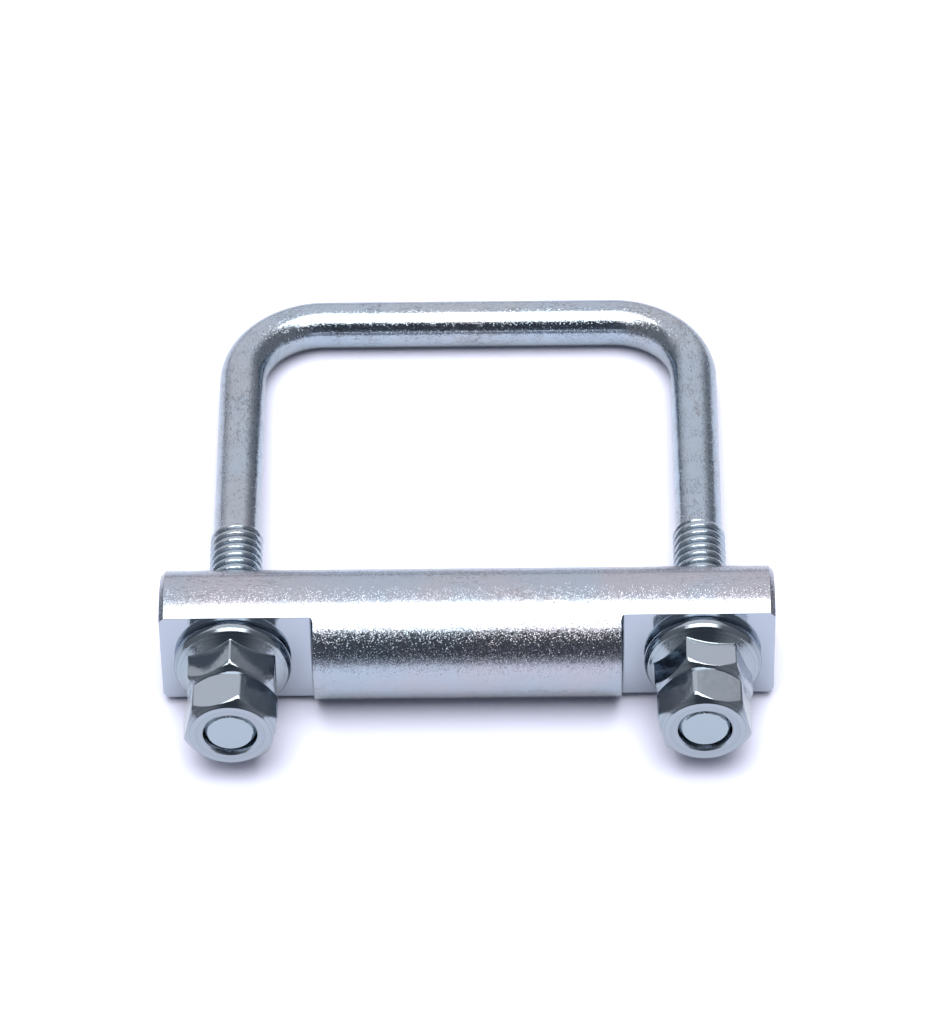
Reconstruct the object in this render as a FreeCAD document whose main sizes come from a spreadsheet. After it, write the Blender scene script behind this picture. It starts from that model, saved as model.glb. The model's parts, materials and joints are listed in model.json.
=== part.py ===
import FreeCAD, Part
import math
import os
import Sketcher

# Square U-bolt clamp in bright zinc plated steel, 5/16 inch 18 thread.
#
# A bent rod, a round bar that slides on its two legs, and on each leg a flange nut with a
# plain lock nut jammed against it. Lengths are in millimetres and angles in degrees.
#
# Frame: the origin is the middle of the clamp bar, on its axis. +X runs along the bar and +Z
# is up. The clamp lies on a table with its bow towards +Y. The bar and the bow both touch the
# table, and the bar is the thicker of the two, so the legs fall a few degrees towards the bow.

SIZES = [
    ("rod_diameter", 7.03, "plain rod of the legs and the bow"),
    ("leg_spacing", 68.75, "from the axis of one leg to the other"),
    ("bow_reach", 65.8, "from the bar's axis to the axis of the bow"),
    ("bend_radius", 12.3, "of the rod's axis at both corners"),
    ("thread_diameter", 7.85, "outside of the rolled thread"),
    ("thread_length", 39.0, "from the tip of a leg to the end of its thread"),
    ("tip_chamfer", 0.65, "at the tip of each leg, 45 degrees"),
    ("tip_recess", 0.4, "from the lock nut's face in to the tip of the leg"),
    ("bar_diameter", 19.05, "round stock of the clamp bar"),
    ("bar_end_chamfer", 0.7, "at both ends of the bar, 45 degrees"),
    ("flat_offset", 4.52, "from the bar's axis to the milled flats"),
    ("flat_outer_margin", 1.9, "of flat between the flange and the end of the bar"),
    ("flat_inner_margin", 3.3, "of flat between the flange and the shoulder"),
    ("shoulder_fillet", 0.5, "left by the cutter between flat and shoulder"),
    ("leg_hole_play", 1.65, "by which the bar's holes are wider than the legs"),
    ("leg_rest_gap", 0.175, "left under a leg that lies low in its hole"),
    ("across_flats", 12.7, "of all four nuts"),
    ("bore_play", 0.1, "by which a nut's bore is wider than the thread"),
    ("flange_nut_height", 8.0, "from the bearing face to the front face"),
    ("flange_reach", 2.25, "by which the flange stands out past the nut's flats"),
    ("flange_rim", 1.15, "height of the top of the flange's edge"),
    ("flange_heel", 0.8, "by which the foot of that edge is cut back, 45 degrees"),
    ("flange_crown", 3.15, "height of its sloping face where that meets the nut's flats"),
    ("flange_slope", 32.0, "of that face, from the bearing face"),
    ("flange_bevel", 0.55, "by which the top of the edge is cut back to that face"),
    ("flange_nut_face_inset", 0.55, "from the nut's flats to the edge of its front face"),
    ("flange_nut_chamfer_angle", 40.0, "of its front corners, from the face"),
    ("lock_nut_height", 6.75, "from face to face"),
    ("lock_nut_face_inset", 0.5, "from the nut's flats to the edge of each face"),
    ("lock_nut_chamfer_angle", 40.0, "of its corners, from the face"),
    ("countersink", 0.35, "by which the mouths of the bores are wider than the bores"),
    ("countersink_angle", 30.0, "of the mouths' slope, from the face"),
    ("flange_nut_lean_left", 0.0, "of its upper corner, clockwise from upright"),
    ("flange_nut_lean_right", -20.0, "of its upper corner, clockwise from upright"),
    ("lock_nut_lean_left", 12.0, "of its upper corner, clockwise from upright"),
    ("lock_nut_lean_right", -12.0, "of its upper corner, clockwise from upright"),
]

CUT_MARGIN = 2.0  # by which a cutter runs out past the metal
FULL_TURN = 360.0
LEFT = -1
RIGHT = 1


class Size:
    """A number together with the sheet formula that gives it."""

    def __init__(self, value, formula):
        self.value = float(value)
        self.formula = formula

    def joined(self, sign, other, value):
        return Size(value, f"({self.formula} {sign} {as_size(other).formula})")

    def __add__(self, other):
        return self.joined("+", other, self.value + as_size(other).value)

    def __sub__(self, other):
        return self.joined("-", other, self.value - as_size(other).value)

    def __mul__(self, other):
        return self.joined("*", other, self.value * as_size(other).value)

    def __truediv__(self, other):
        return self.joined("/", other, self.value / as_size(other).value)

    def __neg__(self):
        return Size(-self.value, f"(-1 * {self.formula})")


def as_size(number):
    return number if isinstance(number, Size) else Size(number, repr(float(number)))


def larger(first, second):
    return Size(max(first.value, second.value), f"max({first.formula}; {second.formula})")


def tangent(angle):
    return Size(math.tan(math.radians(angle.value)), f"tan({angle.formula})")


def arc_sine(ratio):
    return Size(math.degrees(math.asin(ratio.value)), f"asin({ratio.formula})")


def arc_tangent(ratio):
    return Size(math.degrees(math.atan(ratio.value)), f"atan({ratio.formula})")


def square_root(number):
    return Size(math.sqrt(number.value), f"sqrt({number.formula})")


# ---------------------------------------------------------------- the document and its sheet

doc = FreeCAD.newDocument("u_bolt_clamp")
sheet = doc.addObject("Spreadsheet::Sheet", "sizes")
SIZE = {}
for row, (alias, number, meaning) in enumerate(SIZES, start=1):
    sheet.set(f"A{row}", str(number))
    sheet.setAlias(f"A{row}", alias)
    sheet.set(f"B{row}", meaning)
    SIZE[alias] = Size(number, f"sizes.{alias}")
doc.recompute()

# ---------------------------------------------------------------- sizes that follow from others

rod_radius = SIZE["rod_diameter"] / 2
thread_radius = SIZE["thread_diameter"] / 2
half_spacing = SIZE["leg_spacing"] / 2
bar_radius = SIZE["bar_diameter"] / 2

hole_radius = (larger(SIZE["thread_diameter"], SIZE["rod_diameter"]) + SIZE["leg_hole_play"]) / 2
leg_drop = SIZE["leg_hole_play"] / 2 - SIZE["leg_rest_gap"]

apothem = SIZE["across_flats"] / 2
corner_radius = apothem * (2 / math.sqrt(3))
bore_radius = thread_radius + SIZE["bore_play"] / 2
flange_radius = apothem + SIZE["flange_reach"]

half_bar = half_spacing + flange_radius + SIZE["flat_outer_margin"]
shoulder_x = half_spacing - flange_radius - SIZE["flat_inner_margin"]

lock_nut_seat = SIZE["flat_offset"] + SIZE["flange_nut_height"]
tip_reach = lock_nut_seat + SIZE["lock_nut_height"] - SIZE["tip_recess"]
thread_end = SIZE["thread_length"] - tip_reach

# The line from the bar's axis down to the bow's axis, and its slope when both rest on a table.
axis_gap = square_root(SIZE["bow_reach"] * SIZE["bow_reach"] + leg_drop * leg_drop)
rest_slope = arc_sine((bar_radius - rod_radius) / axis_gap)
rest_tilt = rest_slope - arc_tangent(leg_drop / SIZE["bow_reach"])


# ---------------------------------------------------------------- sketching

def origin_plane(body, role):
    return next(item for item in body.Origin.OriginFeatures if item.Role == role)


def new_sketch(body, name, plane, offset=None):
    """A sketch on one of the body's origin planes, moved along the plane's normal by offset."""
    sketch = body.newObject("Sketcher::SketchObject", f"{body.Name}_{name}")
    sketch.AttachmentSupport = [(origin_plane(body, plane), "")]
    sketch.MapMode = "FlatFace"
    if offset is not None:
        sketch.setExpression("AttachmentOffset.Base.z", offset.formula)
    return sketch


def bind(sketch, constraint, name, size):
    """Adds a constraint and ties its value to the sheet."""
    index = sketch.addConstraint(constraint)
    sketch.renameConstraint(index, name)
    sketch.setExpression(f"Constraints.{name}", size.formula)


def pin(sketch, name, geometry, point, x=None, y=None):
    """Holds a point of the sketch at a distance from its origin."""
    for kind, size in (("DistanceX", x), ("DistanceY", y)):
        if size is not None:
            size = as_size(size)
            constraint = Sketcher.Constraint(kind, -1, 1, geometry, point, size.value)
            bind(sketch, constraint, f"{name}_{kind[-1].lower()}", size)


def flat_point(x, y):
    return FreeCAD.Vector(as_size(x).value, as_size(y).value, 0)


def add_line(sketch, start, end, construction=False):
    return sketch.addGeometry(Part.LineSegment(flat_point(*start), flat_point(*end)), construction)


def add_outline(sketch, corners):
    """A closed outline of straight edges with every corner pinned."""
    following = corners[1:] + corners[:1]
    edges = [add_line(sketch, start, end) for start, end in zip(corners, following)]
    for index, edge in enumerate(edges):
        next_edge = edges[(index + 1) % len(edges)]
        sketch.addConstraint(Sketcher.Constraint("Coincident", edge, 2, next_edge, 1))
        pin(sketch, f"corner_{index}", edge, 1, *corners[index])


def add_circle(sketch, name, x, y, radius):
    circle = Part.Circle(flat_point(x, y), FreeCAD.Vector(0, 0, 1), radius.value)
    geometry = sketch.addGeometry(circle, False)
    bind(sketch, Sketcher.Constraint("Radius", geometry, radius.value), f"{name}_radius", radius)
    pin(sketch, name, geometry, 3, x, y)


def add_arc(sketch, centre, radius, start_angle, end_angle):
    circle = Part.Circle(flat_point(*centre), FreeCAD.Vector(0, 0, 1), as_size(radius).value)
    arc = Part.ArcOfCircle(circle, math.radians(start_angle), math.radians(end_angle))
    return sketch.addGeometry(arc, False)


def join_smoothly(sketch, first, first_point, second, second_point):
    sketch.addConstraint(Sketcher.Constraint("Tangent", first, first_point, second, second_point))


# ---------------------------------------------------------------- features

def new_body(name):
    body = doc.addObject("PartDesign::Body", name)
    body.Label = name
    return body


def turned(body, kind, name, sketch, axis="V_Axis"):
    """A full turn of a sketch: kind is Revolution, which adds, or Groove, which cuts."""
    feature = body.newObject(f"PartDesign::{kind}", f"{body.Name}_{name}")
    feature.Profile = sketch
    feature.ReferenceAxis = (sketch, [axis])
    feature.Angle = FULL_TURN
    sketch.Visibility = False
    return feature


def cut_through(body, name, sketch):
    """A pocket that runs right through the body on both sides of its sketch."""
    pocket = body.newObject("PartDesign::Pocket", f"{body.Name}_{name}")
    pocket.Profile = sketch
    pocket.Type = "ThroughAll"
    pocket.Midplane = True
    return pocket


def mirrored(body, features):
    """The same features again on the other side of the body's YZ plane."""
    mirror = body.newObject("PartDesign::Mirrored", f"{body.Name}_mirror")
    mirror.Originals = features
    mirror.MirrorPlane = (origin_plane(body, "YZ_Plane"), [""])
    body.Tip = mirror
    return mirror


# ---------------------------------------------------------------- U-bolt

def add_rod_path(sketch):
    """The rod's axis from one thread, round the bow, to the other thread."""
    bend = SIZE["bend_radius"]
    reach = SIZE["bow_reach"]
    straight_end = reach - bend
    inner = half_spacing - bend
    left_leg = add_line(sketch, (-half_spacing, thread_end), (-half_spacing, straight_end))
    left_bend = add_arc(sketch, (-inner, straight_end), bend, 90, 180)
    bow = add_line(sketch, (-inner, reach), (inner, reach))
    right_bend = add_arc(sketch, (inner, straight_end), bend, 0, 90)
    right_leg = add_line(sketch, (half_spacing, straight_end), (half_spacing, thread_end))
    join_smoothly(sketch, left_leg, 2, left_bend, 2)
    join_smoothly(sketch, left_bend, 1, bow, 1)
    join_smoothly(sketch, bow, 2, right_bend, 2)
    join_smoothly(sketch, right_bend, 1, right_leg, 1)
    sketch.addConstraint(Sketcher.Constraint("Vertical", left_leg))
    sketch.addConstraint(Sketcher.Constraint("Horizontal", bow))
    sketch.addConstraint(Sketcher.Constraint("Vertical", right_leg))
    for name, geometry in (("left_bend", left_bend), ("right_bend", right_bend)):
        bind(sketch, Sketcher.Constraint("Radius", geometry, bend.value), f"{name}_radius", bend)
    pin(sketch, "left_leg", left_leg, 1, -half_spacing, thread_end)
    pin(sketch, "right_leg", right_leg, 2, half_spacing, thread_end)
    pin(sketch, "bow", bow, 1, y=reach)


def make_u_bolt():
    body = new_body("u_bolt")

    path = new_sketch(body, "path", "XY_Plane")
    add_rod_path(path)
    section = new_sketch(body, "section", "XZ_Plane", offset=-thread_end)
    add_circle(section, "rod", -half_spacing, 0, rod_radius)
    doc.recompute()
    rod = body.newObject("PartDesign::AdditivePipe", "u_bolt_rod")
    rod.Profile = section
    rod.Spine = (path, [f"Edge{number}" for number in range(1, 6)])
    doc.recompute()

    # The thread is a plain cylinder of its outside diameter, with the chamfered tip and the
    # run-out cone down to the rod.
    chamfer = SIZE["tip_chamfer"]
    runout = thread_radius - rod_radius
    outline = new_sketch(body, "thread_outline", "XY_Plane")
    add_outline(outline, [
        (-half_spacing, -tip_reach),
        (thread_radius - chamfer - half_spacing, -tip_reach),
        (thread_radius - half_spacing, chamfer - tip_reach),
        (thread_radius - half_spacing, thread_end - runout),
        (rod_radius - half_spacing, thread_end),
        (-half_spacing, thread_end),
    ])
    axis = add_line(outline, (-half_spacing, 0), (-half_spacing, thread_end), construction=True)
    pin(outline, "axis_foot", axis, 1, -half_spacing, 0)
    pin(outline, "axis_head", axis, 2, -half_spacing, thread_end)
    thread = turned(body, "Revolution", "thread", outline, axis="Axis0")
    doc.recompute()
    mirrored(body, [thread])
    doc.recompute()
    return body


# ---------------------------------------------------------------- clamp bar

def add_flat_cutter(sketch):
    """The milled step at one end: flat, rounded inner corner and shoulder."""
    flat_y = -SIZE["flat_offset"]
    fillet = SIZE["shoulder_fillet"]
    outer_x = half_bar + CUT_MARGIN
    lower_y = -(bar_radius + CUT_MARGIN)
    flat = add_line(sketch, (outer_x, flat_y), (shoulder_x + fillet, flat_y))
    corner = add_arc(sketch, (shoulder_x + fillet, flat_y - fillet), fillet, 90, 180)
    shoulder = add_line(sketch, (shoulder_x, flat_y - fillet), (shoulder_x, lower_y))
    bottom = add_line(sketch, (shoulder_x, lower_y), (outer_x, lower_y))
    side = add_line(sketch, (outer_x, lower_y), (outer_x, flat_y))
    join_smoothly(sketch, flat, 2, corner, 1)
    join_smoothly(sketch, corner, 2, shoulder, 1)
    for first, second in ((shoulder, bottom), (bottom, side), (side, flat)):
        sketch.addConstraint(Sketcher.Constraint("Coincident", first, 2, second, 1))
    for line in (flat, bottom):
        sketch.addConstraint(Sketcher.Constraint("Horizontal", line))
    for line in (shoulder, side):
        sketch.addConstraint(Sketcher.Constraint("Vertical", line))
    bind(sketch, Sketcher.Constraint("Radius", corner, fillet.value), "fillet_radius", fillet)
    pin(sketch, "outer_corner", flat, 1, outer_x, flat_y)
    pin(sketch, "inner_corner", bottom, 1, shoulder_x, lower_y)


def make_clamp_bar():
    body = new_body("clamp_bar")

    chamfer = SIZE["bar_end_chamfer"]
    outline = new_sketch(body, "half_outline", "XY_Plane")
    add_outline(outline, [
        (0, 0),
        (half_bar, 0),
        (half_bar, bar_radius - chamfer),
        (half_bar - chamfer, bar_radius),
        (0, bar_radius),
    ])
    half = turned(body, "Revolution", "half", outline, axis="H_Axis")
    doc.recompute()

    step = new_sketch(body, "step", "XY_Plane")
    add_flat_cutter(step)
    flat = cut_through(body, "flat", step)
    doc.recompute()

    mouth = new_sketch(body, "leg_hole_mouth", "XZ_Plane")
    add_circle(mouth, "leg_hole", half_spacing, 0, hole_radius)
    leg_hole = cut_through(body, "leg_hole", mouth)
    doc.recompute()
    mirrored(body, [half, flat, leg_hole])
    doc.recompute()
    return body


# ---------------------------------------------------------------- nuts

def add_hexagon(body, height):
    """The nut's six flats, from z = 0 up, with a corner towards +X."""
    prism = body.newObject("PartDesign::AdditivePrism", f"{body.Name}_hexagon")
    prism.AttachmentSupport = [(origin_plane(body, "XY_Plane"), "")]
    prism.MapMode = "FlatFace"
    prism.Polygon = 6
    prism.setExpression("Circumradius", corner_radius.formula)
    prism.setExpression("Height", height.formula)
    doc.recompute()


def cut_corners(body, name, face_z, inward, face_inset, angle):
    """Chamfers the six corners to a cone: inward is +1 at a lower face and -1 at an upper one."""
    face_radius = apothem - face_inset
    outer_radius = corner_radius + CUT_MARGIN
    depth = (outer_radius - face_radius) * tangent(angle)
    sketch = new_sketch(body, name, "XZ_Plane")
    add_outline(sketch, [
        (face_radius, face_z),
        (outer_radius, face_z),
        (outer_radius, face_z + depth * inward),
    ])
    turned(body, "Groove", f"{name}_cut", sketch)
    doc.recompute()


def cut_bore(body, height):
    """The bore, as wide as the thread needs, with a countersink at each mouth."""
    mouth_radius = bore_radius + SIZE["countersink"]
    depth = SIZE["countersink"] * tangent(SIZE["countersink_angle"])
    sketch = new_sketch(body, "bore", "XZ_Plane")
    add_outline(sketch, [
        (0, 0),
        (mouth_radius, 0),
        (bore_radius, depth),
        (bore_radius, height - depth),
        (mouth_radius, height),
        (0, height),
    ])
    turned(body, "Groove", "bore_cut", sketch)
    doc.recompute()


def add_flange(body):
    """The flange: a cut heel, a straight edge, a bevel and a sloping face up to the flats."""
    rim = SIZE["flange_rim"]
    heel = SIZE["flange_heel"]
    crown = SIZE["flange_crown"]
    bevel = SIZE["flange_bevel"]
    bevel_top = crown - (SIZE["flange_reach"] - bevel) * tangent(SIZE["flange_slope"])
    sketch = new_sketch(body, "flange_outline", "XZ_Plane")
    add_outline(sketch, [
        (0, 0),
        (flange_radius - heel, 0),
        (flange_radius, heel),
        (flange_radius, rim),
        (flange_radius - bevel, bevel_top),
        (apothem, crown),
        (0, crown),
    ])
    turned(body, "Revolution", "flange", sketch)
    doc.recompute()


def make_flange_nut(name):
    body = new_body(name)
    height = SIZE["flange_nut_height"]
    add_hexagon(body, height)
    inset = SIZE["flange_nut_face_inset"]
    angle = SIZE["flange_nut_chamfer_angle"]
    cut_corners(body, "front_chamfer", height, -1, inset, angle)
    add_flange(body)
    cut_bore(body, height)
    return body


def make_lock_nut(name):
    body = new_body(name)
    height = SIZE["lock_nut_height"]
    add_hexagon(body, height)
    inset = SIZE["lock_nut_face_inset"]
    angle = SIZE["lock_nut_chamfer_angle"]
    cut_corners(body, "rear_chamfer", as_size(0), 1, inset, angle)
    cut_corners(body, "front_chamfer", height, -1, inset, angle)
    cut_bore(body, height)
    return body


# ---------------------------------------------------------------- assembly

def placement_formula(x=0, y=0, z=0, axis=(1, 0, 0), angle=0):
    base = "; ".join(as_size(value).formula for value in (x, y, z))
    direction = "; ".join(str(value) for value in axis)
    turn = as_size(angle).formula
    return f"placement(vector({base}); rotation(vector({direction}); {turn}))"


STANCE = placement_formula(angle=-rest_tilt)


def place(body, *steps):
    """Puts a body where the clamp has it, through the stance that the clamp rests in."""
    body.setExpression("Placement", " * ".join((STANCE,) + steps))


def place_nut(body, side, seat, lean):
    """Stands a nut on its leg, facing -Y, with an upper corner that leans by lean."""
    on_leg = placement_formula(half_spacing * side, -seat, -leg_drop, angle=90)
    turn = placement_formula(axis=(0, 0, 1), angle=Size(30, "30") - lean)
    place(body, on_leg, turn)


u_bolt = make_u_bolt()
place(u_bolt, placement_formula(z=-leg_drop))
clamp_bar = make_clamp_bar()
place(clamp_bar)
parts = [u_bolt, clamp_bar]

for side_name, side in (("left", LEFT), ("right", RIGHT)):
    flange_nut = make_flange_nut(f"flange_nut_{side_name}")
    place_nut(flange_nut, side, SIZE["flat_offset"], SIZE[f"flange_nut_lean_{side_name}"])
    lock_nut = make_lock_nut(f"lock_nut_{side_name}")
    place_nut(lock_nut, side, lock_nut_seat, SIZE[f"lock_nut_lean_{side_name}"])
    parts += [flange_nut, lock_nut]

doc.recompute()

# ---------------------------------------------------------------- checks and files

for item in doc.Objects:
    if "Invalid" in item.State or "Error" in item.State:
        raise RuntimeError(f"{item.Name} failed: {item.State}")

for body in parts:
    shape = body.Shape
    if shape.isNull() or not shape.isValid() or len(shape.Solids) != 1:
        raise RuntimeError(f"{body.Label} is not one valid solid")

os.makedirs("parts", exist_ok=True)
for body in parts:
    body.Shape.exportStep(f"parts/{body.Label}.step")
    centre = body.Shape.CenterOfGravity
    print(f"{body.Label}: volume {body.Shape.Volume:.1f} mm3, "
          f"centre {centre.x:.2f} {centre.y:.2f} {centre.z:.2f}")

print(f"rest tilt {rest_tilt.value:.3f} degrees, thread end {thread_end.value:.2f}, "
      f"tip reach {tip_reach.value:.2f}, bar length {2 * half_bar.value:.2f}")
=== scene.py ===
"""Looks of a square U-bolt clamp in bright zinc plated steel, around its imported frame.

Every piece is modelled in millimetres in the clamp's own axes: X along the clamp bar, Y up the
legs to the bow, and the origin in the middle of the bar. Its mesh is then set down in the frame,
where the clamp rests on a table and its legs fall a few degrees towards the bow.
"""
import json
import logging
import math
from collections.abc import Callable, Sequence
from dataclasses import dataclass

import bmesh
import bpy
from mathutils import Matrix, Vector


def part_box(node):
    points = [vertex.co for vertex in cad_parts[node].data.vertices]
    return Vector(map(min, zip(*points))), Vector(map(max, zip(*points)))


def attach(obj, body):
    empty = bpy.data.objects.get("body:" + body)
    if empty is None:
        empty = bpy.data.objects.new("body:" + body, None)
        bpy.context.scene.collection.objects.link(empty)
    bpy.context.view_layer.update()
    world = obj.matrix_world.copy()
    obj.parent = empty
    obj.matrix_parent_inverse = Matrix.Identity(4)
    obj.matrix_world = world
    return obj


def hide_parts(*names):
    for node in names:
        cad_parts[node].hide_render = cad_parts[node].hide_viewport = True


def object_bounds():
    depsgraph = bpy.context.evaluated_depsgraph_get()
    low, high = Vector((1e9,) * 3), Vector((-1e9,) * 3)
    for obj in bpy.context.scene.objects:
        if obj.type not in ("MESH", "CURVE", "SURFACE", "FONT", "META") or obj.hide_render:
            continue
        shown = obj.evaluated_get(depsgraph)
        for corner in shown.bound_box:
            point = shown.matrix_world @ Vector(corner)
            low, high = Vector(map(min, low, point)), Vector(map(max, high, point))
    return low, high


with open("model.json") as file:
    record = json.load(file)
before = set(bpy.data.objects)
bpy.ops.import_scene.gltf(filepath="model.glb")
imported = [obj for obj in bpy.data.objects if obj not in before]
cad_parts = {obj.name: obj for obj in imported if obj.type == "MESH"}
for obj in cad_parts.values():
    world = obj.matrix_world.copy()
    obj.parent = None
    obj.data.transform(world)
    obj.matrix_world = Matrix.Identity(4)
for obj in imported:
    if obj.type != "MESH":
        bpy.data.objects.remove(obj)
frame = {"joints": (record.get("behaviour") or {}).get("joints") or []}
cad_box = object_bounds()

LOG = logging.getLogger("u_bolt_clamp")

MM = 0.001
FULL_TURN = 2 * math.pi
QUARTER_TURN = math.pi / 2
ROUND_EDGE_STEPS = 3
# Nearer than this, in millimetres or in radians, two places or directions count as one.
WELD = 1e-4

# Where the legs' and the bar's features stand, in millimetres in the clamp's axes.
LEG_X = 34.375
BOW_Y = 65.8
THREAD_END_Y = 20.13
TIP_Y = -18.87
FLAT_Y = -4.52
SHOULDER_X = 22.475

Point = tuple[float, float]
Span = tuple[float, float]
Colour = tuple[float, float, float]
Mesh = bmesh.types.BMesh
Piece = bpy.types.Object

BLACK: Colour = (0.0, 0.0, 0.0)
WHITE: Colour = (1.0, 1.0, 1.0)


# -------- where things are

# The bar slides up the legs, which is +Y in the clamp's axes.
UP_THE_LEGS = Vector(next(joint["axis"] for joint in frame["joints"]
                          if joint["type"] == "slide")).normalized()
FALL = math.atan2(UP_THE_LEGS.z, UP_THE_LEGS.y)
TO_FRAME = Matrix.Rotation(FALL, 4, "X") @ Matrix.Scale(MM, 4)
TO_CLAMP = TO_FRAME.inverted()


def joint_place(name: str) -> Vector:
    """Finds where the record's hinge of a name stands, in millimetres in the clamp's axes."""
    joint = next(item for item in frame["joints"] if item["name"] == name)
    return TO_CLAMP @ Vector(joint["pos_m"])


# -------- outlines

@dataclass(frozen=True)
class Corner:
    """A corner of an outline, with the radius and the edges that it is rounded to."""

    x: float
    y: float
    radius: float = 0.0
    steps: int = ROUND_EDGE_STEPS

    @property
    def place(self) -> Vector:
        """The corner as a flat vector."""
        return Vector((self.x, self.y))


def rounded(corners: Sequence[Corner]) -> list[Point]:
    """Rounds the corners of an open outline.

    Args:
        corners: The outline's corners in order. The two ends stay sharp.

    Returns:
        The outline's points, as many for a given list of radii whatever its shape.
    """
    points: list[Point] = []
    for index, corner in enumerate(corners):
        is_end = index in (0, len(corners) - 1)
        if is_end or corner.radius <= 0:
            points.append((corner.x, corner.y))
            continue
        back = (corners[index - 1].place - corner.place).normalized()
        ahead = (corners[index + 1].place - corner.place).normalized()
        opening = max(back.angle(ahead), WELD)
        reach = corner.radius / math.tan(opening / 2)
        middle = back + ahead
        if middle.length < WELD:
            middle = Vector((-ahead.y, ahead.x))
        centre = corner.place + middle.normalized() * (corner.radius / math.sin(opening / 2))
        start = corner.place + back * reach - centre
        end = corner.place + ahead * reach - centre
        for step in range(corner.steps + 1):
            spoke = start.lerp(end, step / corner.steps)
            spoke = spoke.normalized() * corner.radius if spoke.length > WELD else start
            points.append(tuple(centre + spoke))
    return points


# -------- meshes

def everything(mesh: Mesh) -> list:
    """Lists all that a mesh is made of."""
    return list(mesh.verts) + list(mesh.edges) + list(mesh.faces)


def vertices_of(geometry: Sequence) -> list[bmesh.types.BMVert]:
    """Picks the vertices out of what an operator returned."""
    return [item for item in geometry if isinstance(item, bmesh.types.BMVert)]


class Blank:
    """A body that is drawn out of one ring of points, ring after ring.

    Args:
        count: The number of points in every ring.
    """

    def __init__(self, count: int) -> None:
        """Starts with a plain ring."""
        self.mesh = bmesh.new()
        self.place = self.mesh.verts.layers.int.new("place")
        bmesh.ops.create_circle(self.mesh, segments=count, radius=1.0)
        self.mesh.verts.ensure_lookup_table()
        for index, vertex in enumerate(self.mesh.verts):
            vertex[self.place] = index
        self.edges = list(self.mesh.edges)
        self.started = False

    def draw(self, ring: Sequence[Vector]) -> None:
        """Draws the skin on to the next ring.

        Args:
            ring: The places of the ring's points, in order round the ring.
        """
        if self.started:
            drawn = bmesh.ops.extrude_edge_only(self.mesh, edges=self.edges)["geom"]
            vertices = vertices_of(drawn)
            new = set(vertices)
            self.edges = [item for item in drawn if isinstance(item, bmesh.types.BMEdge)
                          and new.issuperset(item.verts)]
        else:
            vertices = list(self.mesh.verts)
            self.started = True
        for vertex in vertices:
            vertex.co = ring[vertex[self.place]]

    def tidy(self) -> None:
        """Welds what meets and turns the faces outwards."""
        bmesh.ops.remove_doubles(self.mesh, verts=self.mesh.verts, dist=WELD)
        bmesh.ops.dissolve_degenerate(self.mesh, edges=self.mesh.edges, dist=WELD)
        bmesh.ops.recalc_face_normals(self.mesh, faces=self.mesh.faces)


def soft(share: float) -> float:
    """Eases a share from 0 to 1, and holds it there outside."""
    held = min(max(share, 0.0), 1.0)
    return held * held * (3 - 2 * held)


def circle_edges(mesh: Mesh, test: Callable[[Vector], bool]) -> list:
    """Lists the open edges of a mesh whose two ends pass a test."""
    return [edge for edge in mesh.edges
            if edge.is_boundary and all(test(vertex.co) for vertex in edge.verts)]


def as_object(mesh: Mesh, name: str) -> Piece:
    """Puts a mesh into the scene.

    Args:
        mesh: The mesh, which is used up.
        name: Of the object and of its data.

    Returns:
        The object.
    """
    data = bpy.data.meshes.new(name)
    mesh.to_mesh(data)
    mesh.free()
    thing = bpy.data.objects.new(name, data)
    bpy.context.scene.collection.objects.link(thing)
    return thing


def set_down(mesh: Mesh, name: str) -> Piece:
    """Makes a piece of a mesh that was modelled in the clamp's axes.

    Args:
        mesh: The mesh in millimetres, which is used up.
        name: The piece's name.

    Returns:
        The piece, whose object stands at the origin.
    """
    for layer in list(mesh.verts.layers.int):
        mesh.verts.layers.int.remove(layer)
    bmesh.ops.transform(mesh, matrix=TO_FRAME, verts=mesh.verts)
    piece = as_object(mesh, name)
    for face in piece.data.polygons:
        face.use_smooth = True
    return piece


# -------- shaders

def arithmetic(operation: str, swapped: bool = False) -> Callable[["Signal", "Value"], "Signal"]:
    """Makes the method of a signal for a sum, a difference or a product.

    Args:
        operation: What the Math node does.
        swapped: Whether the signal itself comes second.

    Returns:
        The method.
    """
    def method(signal: "Signal", other: "Value") -> "Signal":
        """Adds the Math node."""
        values = (other, signal) if swapped else (signal, other)
        return signal.graph.math(operation, *values)
    return method


class Signal:
    """One output of a shader's nodes, which adds and multiplies as a number does."""

    __add__ = __radd__ = arithmetic("ADD")
    __mul__ = __rmul__ = arithmetic("MULTIPLY")
    __sub__ = arithmetic("SUBTRACT")
    __rsub__ = arithmetic("SUBTRACT", swapped=True)

    def __init__(self, graph: "Graph", socket: bpy.types.NodeSocket) -> None:
        """Keeps the socket and the graph that it belongs to."""
        self.graph = graph
        self.socket = socket

    def __abs__(self) -> "Signal":
        """Its size without its sign."""
        return self.graph.math("ABSOLUTE", self)

    def axes(self) -> tuple["Signal", "Signal", "Signal"]:
        """Splits a vector into its three parts."""
        split = self.graph.node("SeparateXYZ", {}, {0: self}).socket.node
        return tuple(Signal(self.graph, socket) for socket in split.outputs)

    def stepped(self, low: float, high: float) -> "Signal":
        """A soft step from 0 at low to 1 at high."""
        return self.graph.node("MapRange", {"interpolation_type": "SMOOTHSTEP"},
                               {"Value": self, "From Min": low, "From Max": high})

    def past(self, edge: float, blur: float) -> "Signal":
        """A soft step from 0 to 1 at an edge, blurred by so much to each side."""
        return self.stepped(edge - blur, edge + blur)


Value = Signal | float


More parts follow.
